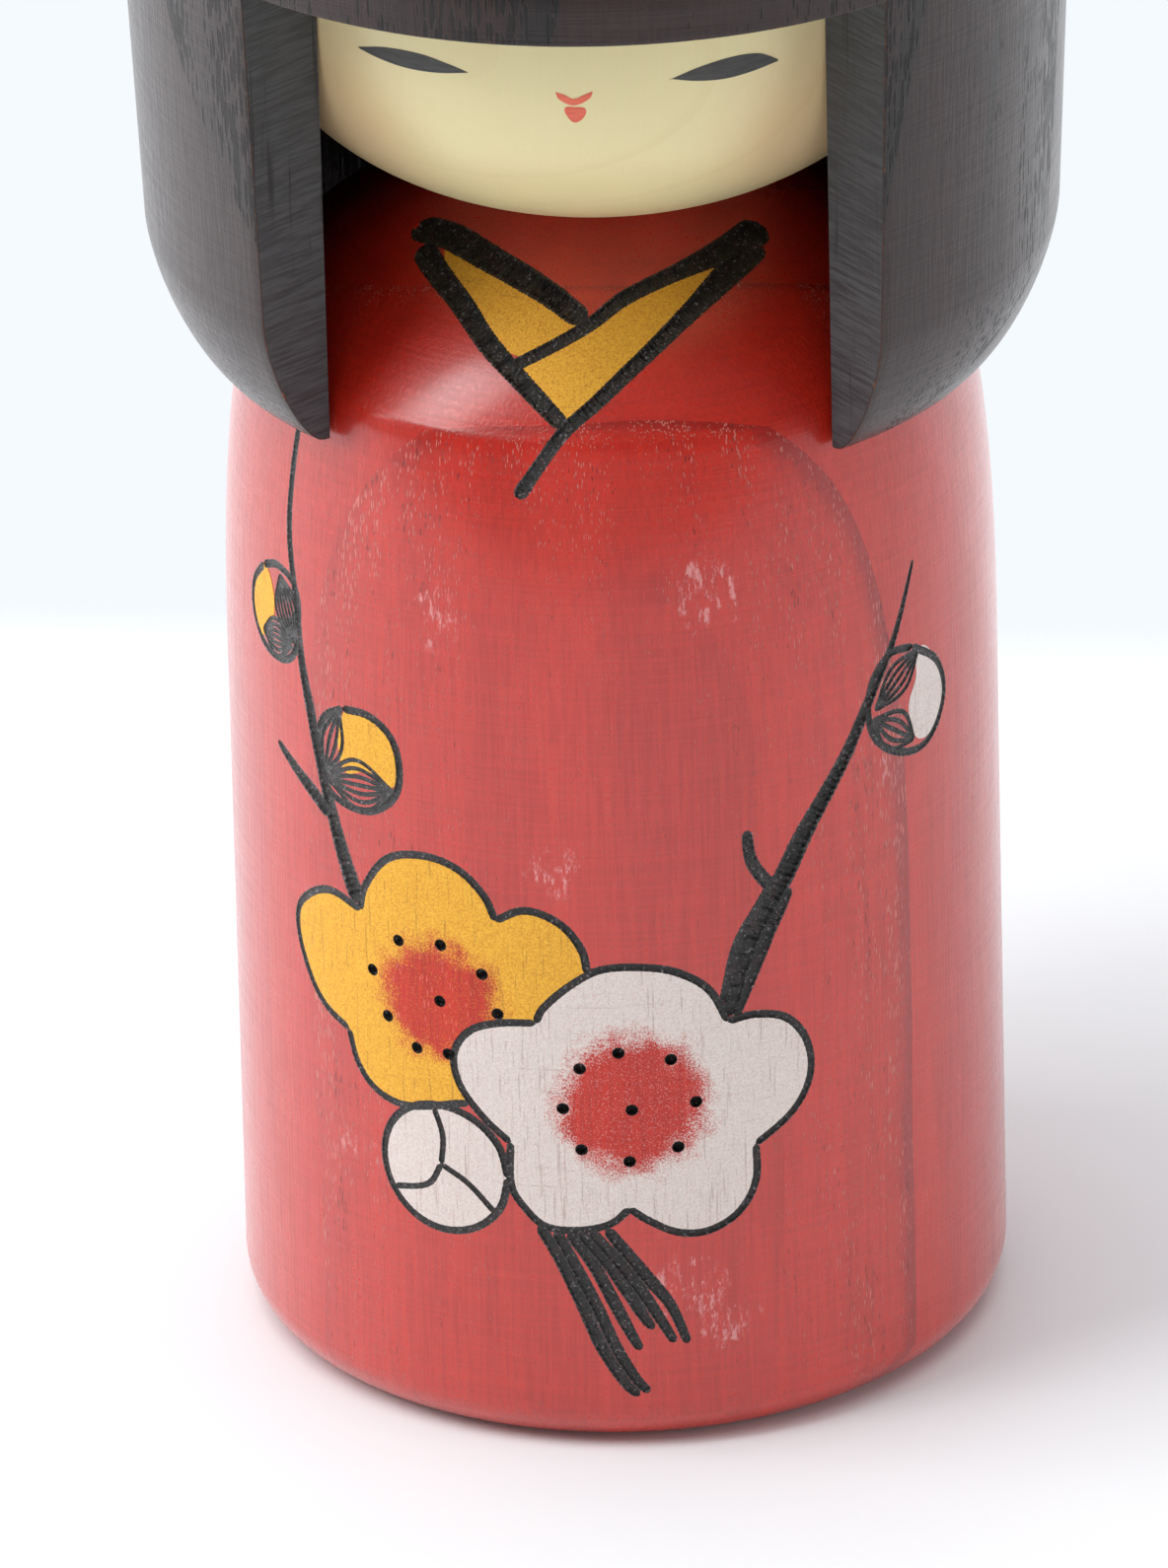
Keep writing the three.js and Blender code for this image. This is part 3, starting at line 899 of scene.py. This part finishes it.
def on_body(around, height):
    radius = wall_radius(height)
    turn = around / BODY_RADIUS
    return (radius * math.sin(turn), -radius * math.cos(turn), height)


# Where the doll has been knocked, as (around, height, reach).
KNOCKS = (
    (11.9, 85.5, 3), (9.5, 15.8, 3.4), (12.6, 12.3, 2.2), (-2.1, 59.1, 2), (-12.8, 83, 2.6),
    (31, 64.2, 1.6), (-22.9, 26.5, 1.4),
)


def scuff_group():
    """Pale rubbed scratches round each knock."""
    nodes, entry, leave, place = new_group("scuffs", {"Amount": ("Float", 1.0)}, {"Mask": "Float"})
    reach = nodes.grain(place, (0.5, 0.5, 0.35), 3.0, 0.6)
    mask = 0.0
    for around, height, size in KNOCKS:
        away = nodes.add("VectorMath", {0: place, 1: on_body(around, height)}, "Value", operation="DISTANCE")
        near = nodes.math("SUBTRACT", size, nodes.math("ADD", away, nodes.ramp(reach, 0.3, 0.7, -1.6, 1.6)))
        mask = nodes.math("MAXIMUM", nodes.ramp(near, -0.4, 1.2), mask)
    scratch = nodes.noise(nodes.stretch(place, 1.5, 1.5, 0.5, turn=(0.0, 0.5, 0.0)), 1.0, 5.0, 0.8)
    mask = nodes.math("MULTIPLY", mask, nodes.ramp(scratch, 0.5, 0.62))
    mask = nodes.math("MULTIPLY", mask, entry["Amount"])
    nodes.tree.links.new(mask, leave["Mask"])
    return nodes.tree


def centre_group():
    """Soft speckled round patch, 1 inside, on the front of the body."""
    nodes, entry, leave, place = new_group(
        "bare_centre",
        {"Middle": ("Vector", (0, 0, 0)), "Reach": ("Float", 5.0)},
        {"Mask": "Float"},
    )
    away = nodes.add("VectorMath", {0: place, 1: entry["Middle"]}, operation="SUBTRACT")
    parts = nodes.add("VectorMath", {0: away}, "Value", operation="LENGTH")
    ragged = nodes.noise(place, 0.45, 2.0)
    speckle = nodes.noise(place, 7.0, 2.0, 0.6)
    edge = nodes.math("ADD", parts, nodes.ramp(ragged, 0.3, 0.7, -0.7, 0.7))
    inside = nodes.ramp(nodes.math("SUBTRACT", entry["Reach"], edge), -1.7, 1.5, smooth=False)
    grainy = nodes.math("ADD", inside, nodes.ramp(speckle, 0.3, 0.7, -0.35, 0.35))
    mask = nodes.ramp(grainy, 0.15, 0.85, smooth=False)
    nodes.tree.links.new(mask, leave["Mask"])
    return nodes.tree


WOOD = wood_group()
SCUFFS = scuff_group()
CENTRE = centre_group()


def new_material(name):
    material = bpy.data.materials.new(name)
    material.use_nodes = True
    nodes = Nodes(material.node_tree)
    shader = material.node_tree.nodes["Principled BSDF"]
    return material, nodes, shader


def use_group(nodes, group, **values):
    node = nodes.tree.nodes.new("ShaderNodeGroup")
    node.node_tree = group
    for name, value in values.items():
        socket = node.inputs[name.replace("_", " ")]
        if isinstance(value, bpy.types.NodeSocket):
            nodes.tree.links.new(value, socket)
        else:
            socket.default_value = value
    return node.outputs


def in_millimetres(nodes):
    place = nodes.add("TexCoord", output="Object")
    return nodes.add("VectorMath", {0: place, 1: (1 / MM,) * 3}, operation="MULTIPLY")


def relief(nodes, shader, height, depth, strength=1.0):
    """Bump of a depth in millimetres."""
    bump = nodes.add("Bump", {"Height": height, "Distance": depth * MM, "Strength": strength})
    nodes.tree.links.new(bump, shader.inputs["Normal"])


def varnish(shader, weight, rough):
    shader.inputs["Coat Weight"].default_value = weight
    shader.inputs["Coat Roughness"].default_value = rough


def wire(nodes, shader, **values):
    for name, value in values.items():
        nodes.tree.links.new(value, shader.inputs[name.replace("_", " ")])


BODY_PITH = (-0.9, 18.0, 0)
RED_LIGHT = linear(200, 42, 26)
RED_DARK = linear(154, 24, 15)
RED_PORE = linear(96, 16, 12)
RED_FILLER = linear(222, 124, 112)


def red_wood(nodes):
    return use_group(
        nodes, WOOD, Pith=BODY_PITH, Ring_Start=5.2, Ring_Width=10.9, Pore_Reach=4.5, Pore_Fineness=1.9,
        Grain=1.0, Light=RED_LIGHT, Dark=RED_DARK, Pore=RED_PORE, Filler=RED_FILLER, Thin_Rings=0.25,
    )


def red_stained():
    material, nodes, shader = new_material("red_stained_wood")
    wood = red_wood(nodes)
    place = in_millimetres(nodes)
    marks = use_group(nodes, SCUFFS, Amount=0.65)
    colour = nodes.mix(marks["Mask"], wood["Color"], linear(226, 160, 160))
    height_up = nodes.add("SeparateXYZ", {0: place}, "Z")
    bare = nodes.ramp(height_up, 0.05, 0.25, 1, 0)
    grain = nodes.grain(place, (0.8, 0.8, 0.1), 4.0)
    raw = nodes.mix(grain, linear(196, 160, 116), linear(160, 118, 78))
    colour = nodes.mix(bare, colour, raw)
    rough = nodes.math("ADD", wood["Roughness"], 0.34)
    rough = nodes.math("ADD", rough, nodes.math("MULTIPLY", bare, 0.3))
    rough = nodes.math("ADD", rough, nodes.math("MULTIPLY", marks["Mask"], 0.2))
    wire(nodes, shader, Base_Color=colour, Roughness=rough)
    varnish(shader, 0.85, 0.2)
    relief(nodes, shader, wood["Height"], 0.09)
    return material


def burnt():
    material, nodes, shader = new_material("burnt_line")
    place = in_millimetres(nodes)
    crust = nodes.noise(place, 2.4, 4.0, 0.7)
    brown = nodes.noise(place, 1.1, 2.0)
    colour = nodes.mix(nodes.ramp(brown, 0.5, 0.72), linear(8, 5, 5), linear(44, 22, 19))
    # Painted highlights: pale specks mixed into the char's colour stand in for the glints on its glossy
    # crust.
    painted_glint = nodes.noise(place, 3.6, 2.0, 0.6)
    colour = nodes.mix(nodes.ramp(painted_glint, 0.6, 0.68, 0, 0.6), colour, linear(150, 142, 146))
    wire(nodes, shader, Base_Color=colour, Roughness=nodes.ramp(crust, 0.3, 0.7, 0.3, 0.6))
    varnish(shader, 0.8, 0.12)
    relief(nodes, shader, crust, 0.3)
    nodes.tree.links.new(shader.inputs["Normal"].links[0].from_socket, shader.inputs["Coat Normal"])
    return material


def paint(name, light, dark, metallic, middle, reach):
    """Metal-powder paint over the wood's pores, rubbed away to the red wood round a flower's middle."""
    material, nodes, shader = new_material(name)
    wood = red_wood(nodes)
    place = in_millimetres(nodes)
    bare = use_group(nodes, CENTRE, Middle=middle, Reach=reach)["Mask"]
    flecks = nodes.noise(place, 4.6, 3.0, 0.7)
    fibres = nodes.grain(place, (4.6, 4.6, 0.18), 4.0, 0.65)
    threads = nodes.grain(place, (0.15, 0.15, 3.4), 3.0, 0.65)
    across = nodes.ramp(threads, 0.6, 0.74, 0, 0.22)
    cracks = nodes.math("MAXIMUM", nodes.ramp(fibres, 0.57, 0.7, 0, 0.32), across)
    coat = nodes.mix(nodes.ramp(flecks, 0.3, 0.7), dark, light)
    coat = nodes.mix(cracks, coat, linear(140, 76, 60))
    colour = nodes.mix(bare, coat, wood["Color"])
    metal = nodes.math("MULTIPLY", nodes.math("SUBTRACT", 1.0, bare), metallic)
    rough = nodes.add("Mix", {"Factor": bare, 2: nodes.ramp(flecks, 0.3, 0.7, 0.42, 0.62), 3: 0.42}, 0)
    wire(nodes, shader, Base_Color=colour, Metallic=metal, Roughness=rough)
    lumps = nodes.math("ADD", nodes.math("MULTIPLY", flecks, 0.5), nodes.math("MULTIPLY", cracks, -1))
    relief(nodes, shader, lumps, 0.09)
    return material


def pale_wood():
    material, nodes, shader = new_material("pale_wood")
    place = in_millimetres(nodes)
    wood = use_group(
        nodes, WOOD, Pith=(8, 22, 0), Ring_Start=2.0, Ring_Width=4.2, Pore_Reach=0.8, Pore_Share=0.25,
        Grain=0.7, Light=linear(238, 224, 172), Dark=linear(234, 218, 165), Pore=linear(205, 180, 124),
        Filler=linear(244, 232, 190), Thin_Rings=0.12,
    )
    colour = wood["Color"]
    for side in (-1, 1):
        middle = (side * 22.5, -22.5, 127.5)
        away = nodes.add("VectorMath", {0: place, 1: middle}, "Value", operation="DISTANCE")
        blush = nodes.ramp(away, 4, 15, 0.34, 0)
        colour = nodes.mix(blush, colour, linear(238, 170, 128))
    rough = nodes.math("ADD", wood["Roughness"], 0.36)
    wire(nodes, shader, Base_Color=colour, Roughness=rough)
    varnish(shader, 0.2, 0.25)
    relief(nodes, shader, wood["Height"], 0.02)
    return material


def face_paint(name, light, dark, rough):
    material, nodes, shader = new_material(name)
    place = in_millimetres(nodes)
    brush = nodes.grain(place, (0.5, 0.5, 3.0), 3.0)
    wire(nodes, shader, Base_Color=nodes.mix(nodes.ramp(brush, 0.3, 0.7), dark, light))
    wire(nodes, shader, Roughness=nodes.ramp(brush, 0.3, 0.7, rough - 0.08, rough + 0.08))
    relief(nodes, shader, brush, 0.02)
    return material


def hair_wood(nodes):
    return use_group(
        nodes, WOOD, Pith=(6.0, 9.0, 0), Ring_Start=3.0, Ring_Width=7.0, Pore_Reach=3.6, Pore_Share=1.6,
        Grain=1.0, Light=linear(48, 25, 21), Dark=linear(22, 14, 13), Pore=linear(10, 8, 9),
        Filler=linear(12, 9, 10), Thin_Rings=0.6,
    )


def dark_stained():
    material, nodes, shader = new_material("dark_stained_wood")
    wood = hair_wood(nodes)
    rough = nodes.math("ADD", wood["Roughness"], 0.36)
    wire(nodes, shader, Base_Color=wood["Color"], Roughness=rough)
    varnish(shader, 0.35, 0.26)
    shader.inputs["Specular IOR Level"].default_value = 0.4
    relief(nodes, shader, wood["Height"], 0.12)
    return material


def sawn_face():
    material, nodes, shader = new_material("sawn_dark_wood")
    place = in_millimetres(nodes)
    saw = nodes.noise(nodes.stretch(place, 0.2, 0.2, 3.0, turn=(0.5, 0, 0)), 1.0, 3.0, 0.6)
    streaks = nodes.grain(place, (1.3, 1.3, 0.05), 3.0, 0.6)
    # The grey-blue tone is partly the sawn wood's own paler colour and partly painted sheen.
    colour = nodes.mix(nodes.ramp(saw, 0.35, 0.65), linear(52, 53, 56), linear(76, 77, 80))
    colour = nodes.mix(nodes.ramp(streaks, 0.6, 0.7, 0, 0.7), colour, linear(28, 26, 28))
    wire(nodes, shader, Base_Color=colour, Roughness=nodes.ramp(saw, 0.3, 0.7, 0.5, 0.66))
    lumps = nodes.math("ADD", saw, nodes.math("MULTIPLY", streaks, -0.6))
    relief(nodes, shader, lumps, 0.1)
    return material


def worn_edge():
    material, nodes, shader = new_material("worn_edge")
    place = in_millimetres(nodes)
    wood = hair_wood(nodes)
    chips = nodes.noise(place, 0.75, 5.0, 0.75)
    rubbed = nodes.ramp(chips, 0.6, 0.68)
    colour = nodes.mix(nodes.ramp(chips, 0.45, 0.65, 0, 0.6), wood["Color"], linear(92, 52, 34))
    colour = nodes.mix(rubbed, colour, linear(176, 104, 62))
    wire(nodes, shader, Base_Color=colour, Roughness=nodes.ramp(chips, 0.4, 0.7, 0.35, 0.7))
    relief(nodes, shader, nodes.math("MULTIPLY", rubbed, -1), 0.12)
    return material


def dowel_wood():
    material, nodes, shader = new_material("dowel_wood")
    wood = use_group(
        nodes, WOOD, Pith=(0, 30, 0), Ring_Start=0.0, Ring_Width=2.6, Pore_Reach=0.6, Pore_Share=0.3,
        Grain=1.0, Light=linear(214, 178, 128), Dark=linear(180, 138, 90), Pore=linear(120, 86, 54),
        Filler=linear(150, 110, 70), Thin_Rings=0.5,
    )
    rough = nodes.math("ADD", wood["Roughness"], 0.6)
    wire(nodes, shader, Base_Color=wood["Color"], Roughness=rough)
    relief(nodes, shader, wood["Height"], 0.05)
    return material


# Build the pieces, put them in metres, and hang each on its body.


def finish_piece(piece, body, slot, materials, *nodes_replaced):
    piece.data.transform(Matrix.Scale(MM, 4))
    slots = piece.data.materials
    while len(slots) < len(materials):
        slots.append(None)
    for place, material in enumerate(materials):
        slots[place] = material
    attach(piece, body)
    if nodes_replaced:
        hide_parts(*nodes_replaced)


body, burnt_lines, gold_paint, silver_paint = build_body()
head, eyes, lips = build_head()
hair = build_hair()

finish_piece(body, STANDING, "red_stained_wood", [red_stained()], "body")
finish_piece(burnt_lines, STANDING, "red_stained_wood", [burnt()])
GOLD_TONES = (linear(248, 196, 70), linear(222, 152, 42))
gold_film = paint("gold_paint", *GOLD_TONES, 0.35, on_body(-13.5, 44.2), 5.6)
finish_piece(gold_paint, STANDING, "red_stained_wood", [gold_film])
SILVER_TONES = (linear(234, 223, 217), linear(216, 203, 197))
silver_film = paint("silver_paint", *SILVER_TONES, 0.25, on_body(4.1, 35.4), 6.6)
finish_piece(silver_paint, STANDING, "red_stained_wood", [silver_film])
finish_piece(head, TURNING, "pale_wood", [pale_wood()], "head")
eye_film = face_paint("eye_paint", linear(78, 76, 74), linear(58, 56, 56), 0.5)
lip_film = face_paint("lip_paint", linear(240, 120, 92), linear(226, 96, 72), 0.5)
finish_piece(eyes, TURNING, "pale_wood", [eye_film])
finish_piece(lips, TURNING, "pale_wood", [lip_film])
finish_piece(hair, TURNING, "dark_stained_wood", [dark_stained(), sawn_face(), worn_edge()], "hair")

peg = dowel_wood()
for name in ("neck_dowel", "crown_dowel"):
    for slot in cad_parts[name].material_slots:
        slot.material = peg

# Floor, light and camera. The camera looks at the doll from its left front, a little from above.

CAMERA_TURN = math.radians(5.5)
CAMERA_AWAY = 1300.0
CAMERA_HEIGHT = 703.04
CAMERA_PITCH = math.radians(26.670)
CAMERA_YAW = math.radians(-0.121)
CAMERA_ROLL = math.radians(-1.403)
CAMERA_LENS = 365.6
CAMERA_SENSOR = 36.0

studio = Matrix.Rotation(CAMERA_TURN, 3, "Z")
TABLE_TURN = math.radians(-1.7)
BACKDROP = (0.913, 0.955, 0.99, 1)
ROOM_BACK = (1.18, 1.21, 1.25, 1)
ROOM_FRONT = (0.06, 0.06, 0.06, 1)


def add_camera():
    data = bpy.data.cameras.new("camera")
    data.sensor_fit = "AUTO"
    data.sensor_width = CAMERA_SENSOR
    data.lens = CAMERA_LENS
    data.clip_start, data.clip_end = 0.05, 20
    camera = bpy.data.objects.new("camera", data)
    bpy.context.scene.collection.objects.link(camera)
    forward = Vector((
        math.sin(CAMERA_YAW) * math.cos(CAMERA_PITCH),
        math.cos(CAMERA_YAW) * math.cos(CAMERA_PITCH),
        -math.sin(CAMERA_PITCH),
    ))
    right = Vector((math.cos(CAMERA_YAW), -math.sin(CAMERA_YAW), 0))
    up = right.cross(forward)
    across = math.cos(CAMERA_ROLL) * right + math.sin(CAMERA_ROLL) * up
    above = -math.sin(CAMERA_ROLL) * right + math.cos(CAMERA_ROLL) * up
    facing = Matrix((across, above, -forward)).transposed()
    place = Vector((-0.17, -CAMERA_AWAY, CAMERA_HEIGHT)) * MM
    camera.matrix_world = Matrix.Translation(studio @ place) @ (studio @ facing).to_4x4()
    bpy.context.scene.camera = camera


def add_floor():
    """Pale table top, which fades out a little behind the doll and ends a forearm's length in front."""
    side, front, back, fade = 1.2, 0.37, 0.138, 0.016
    bm = bmesh.new()
    bmesh.ops.create_grid(bm, x_segments=1, y_segments=1, size=1)
    bmesh.ops.scale(bm, verts=bm.verts, vec=(side, (front + back) / 2, 1))
    bmesh.ops.translate(bm, verts=bm.verts, vec=(0, (back - front) / 2, 0))
    bmesh.ops.rotate(bm, cent=(0, 0, 0), matrix=Matrix.Rotation(TABLE_TURN, 3, "Z"), verts=bm.verts)
    floor = add_object("floor", mesh_from(bm, "floor"))
    material, nodes, shader = new_material("floor")
    shader.inputs["Base Color"].default_value = (0.85, 0.88, 0.905, 1)
    shader.inputs["Roughness"].default_value = 0.6
    level = nodes.add("SeparateXYZ", {0: nodes.add("TexCoord", output="Object")}, "Y")
    wire(nodes, shader, Alpha=nodes.ramp(level, back - fade, back, 1, 0))
    floor.data.materials.append(material)


def add_softbox(name, away, turn, rise, size, power, mirrored=True):
    """Soft box facing the doll, its angles in degrees. It leaves no highlight unless it is mirrored."""
    data = bpy.data.lights.new(name, "AREA")
    data.shape = "RECTANGLE"
    data.size, data.size_y = size
    data.energy = power
    lamp = bpy.data.objects.new(name, data)
    bpy.context.scene.collection.objects.link(lamp)
    turn, rise = math.radians(turn), math.radians(rise)
    towards = Vector((math.sin(turn) * math.cos(rise), -math.cos(turn) * math.cos(rise), math.sin(rise)))
    lamp.location = studio @ towards * away
    lamp.visible_glossy = mirrored
    target = Vector((0, 0, 0.09))
    lamp.rotation_mode = "QUATERNION"
    lamp.rotation_quaternion = (target - lamp.location).to_track_quat("-Z", "Y")
    return lamp


def add_world():
    """White behind, a dark room in front and overhead. The camera sees a plain pale backdrop all round."""
    world = bpy.data.worlds.new("studio")
    world.use_nodes = True
    tree = world.node_tree
    nodes = Nodes(tree)
    direction = nodes.stretch(nodes.add("TexCoord", output="Generated"), 1, 1, 1, turn=(0, 0, -CAMERA_TURN))
    parts = nodes.tree.nodes.new("ShaderNodeSeparateXYZ")
    tree.links.new(direction, parts.inputs[0])
    backward = nodes.math("SUBTRACT", parts.outputs["Y"], nodes.math("MULTIPLY", parts.outputs["Z"], 0.6))
    room = nodes.ramp(backward, -0.3, 0.45)
    surround = nodes.mix(room, ROOM_FRONT, ROOM_BACK)
    seen = nodes.add("LightPath", output="Is Camera Ray")
    colour = nodes.mix(seen, surround, BACKDROP)
    tree.links.new(colour, tree.nodes["Background"].inputs["Color"])
    bpy.context.scene.world = world


add_camera()
add_floor()
add_world()
add_softbox("key", 1.1, -63, 60, (0.24, 0.9), 4.4)
add_softbox("window", 1.1, -86, 40, (0.5, 0.9), 4.4)
add_softbox("left_panel", 1.0, -104, 12, (0.9, 0.6), 2.4)
add_softbox("right_fill", 1.2, 75, 16, (0.9, 0.7), 3.6, mirrored=False)
add_softbox("front_fill", 1.4, -5, 4, (1.2, 0.6), 5.4, mirrored=False)
add_softbox("overhead", 1.3, 0, 85, (1.4, 1.4), 9.8, mirrored=False)
bpy.context.scene.view_settings.view_transform = "Standard"
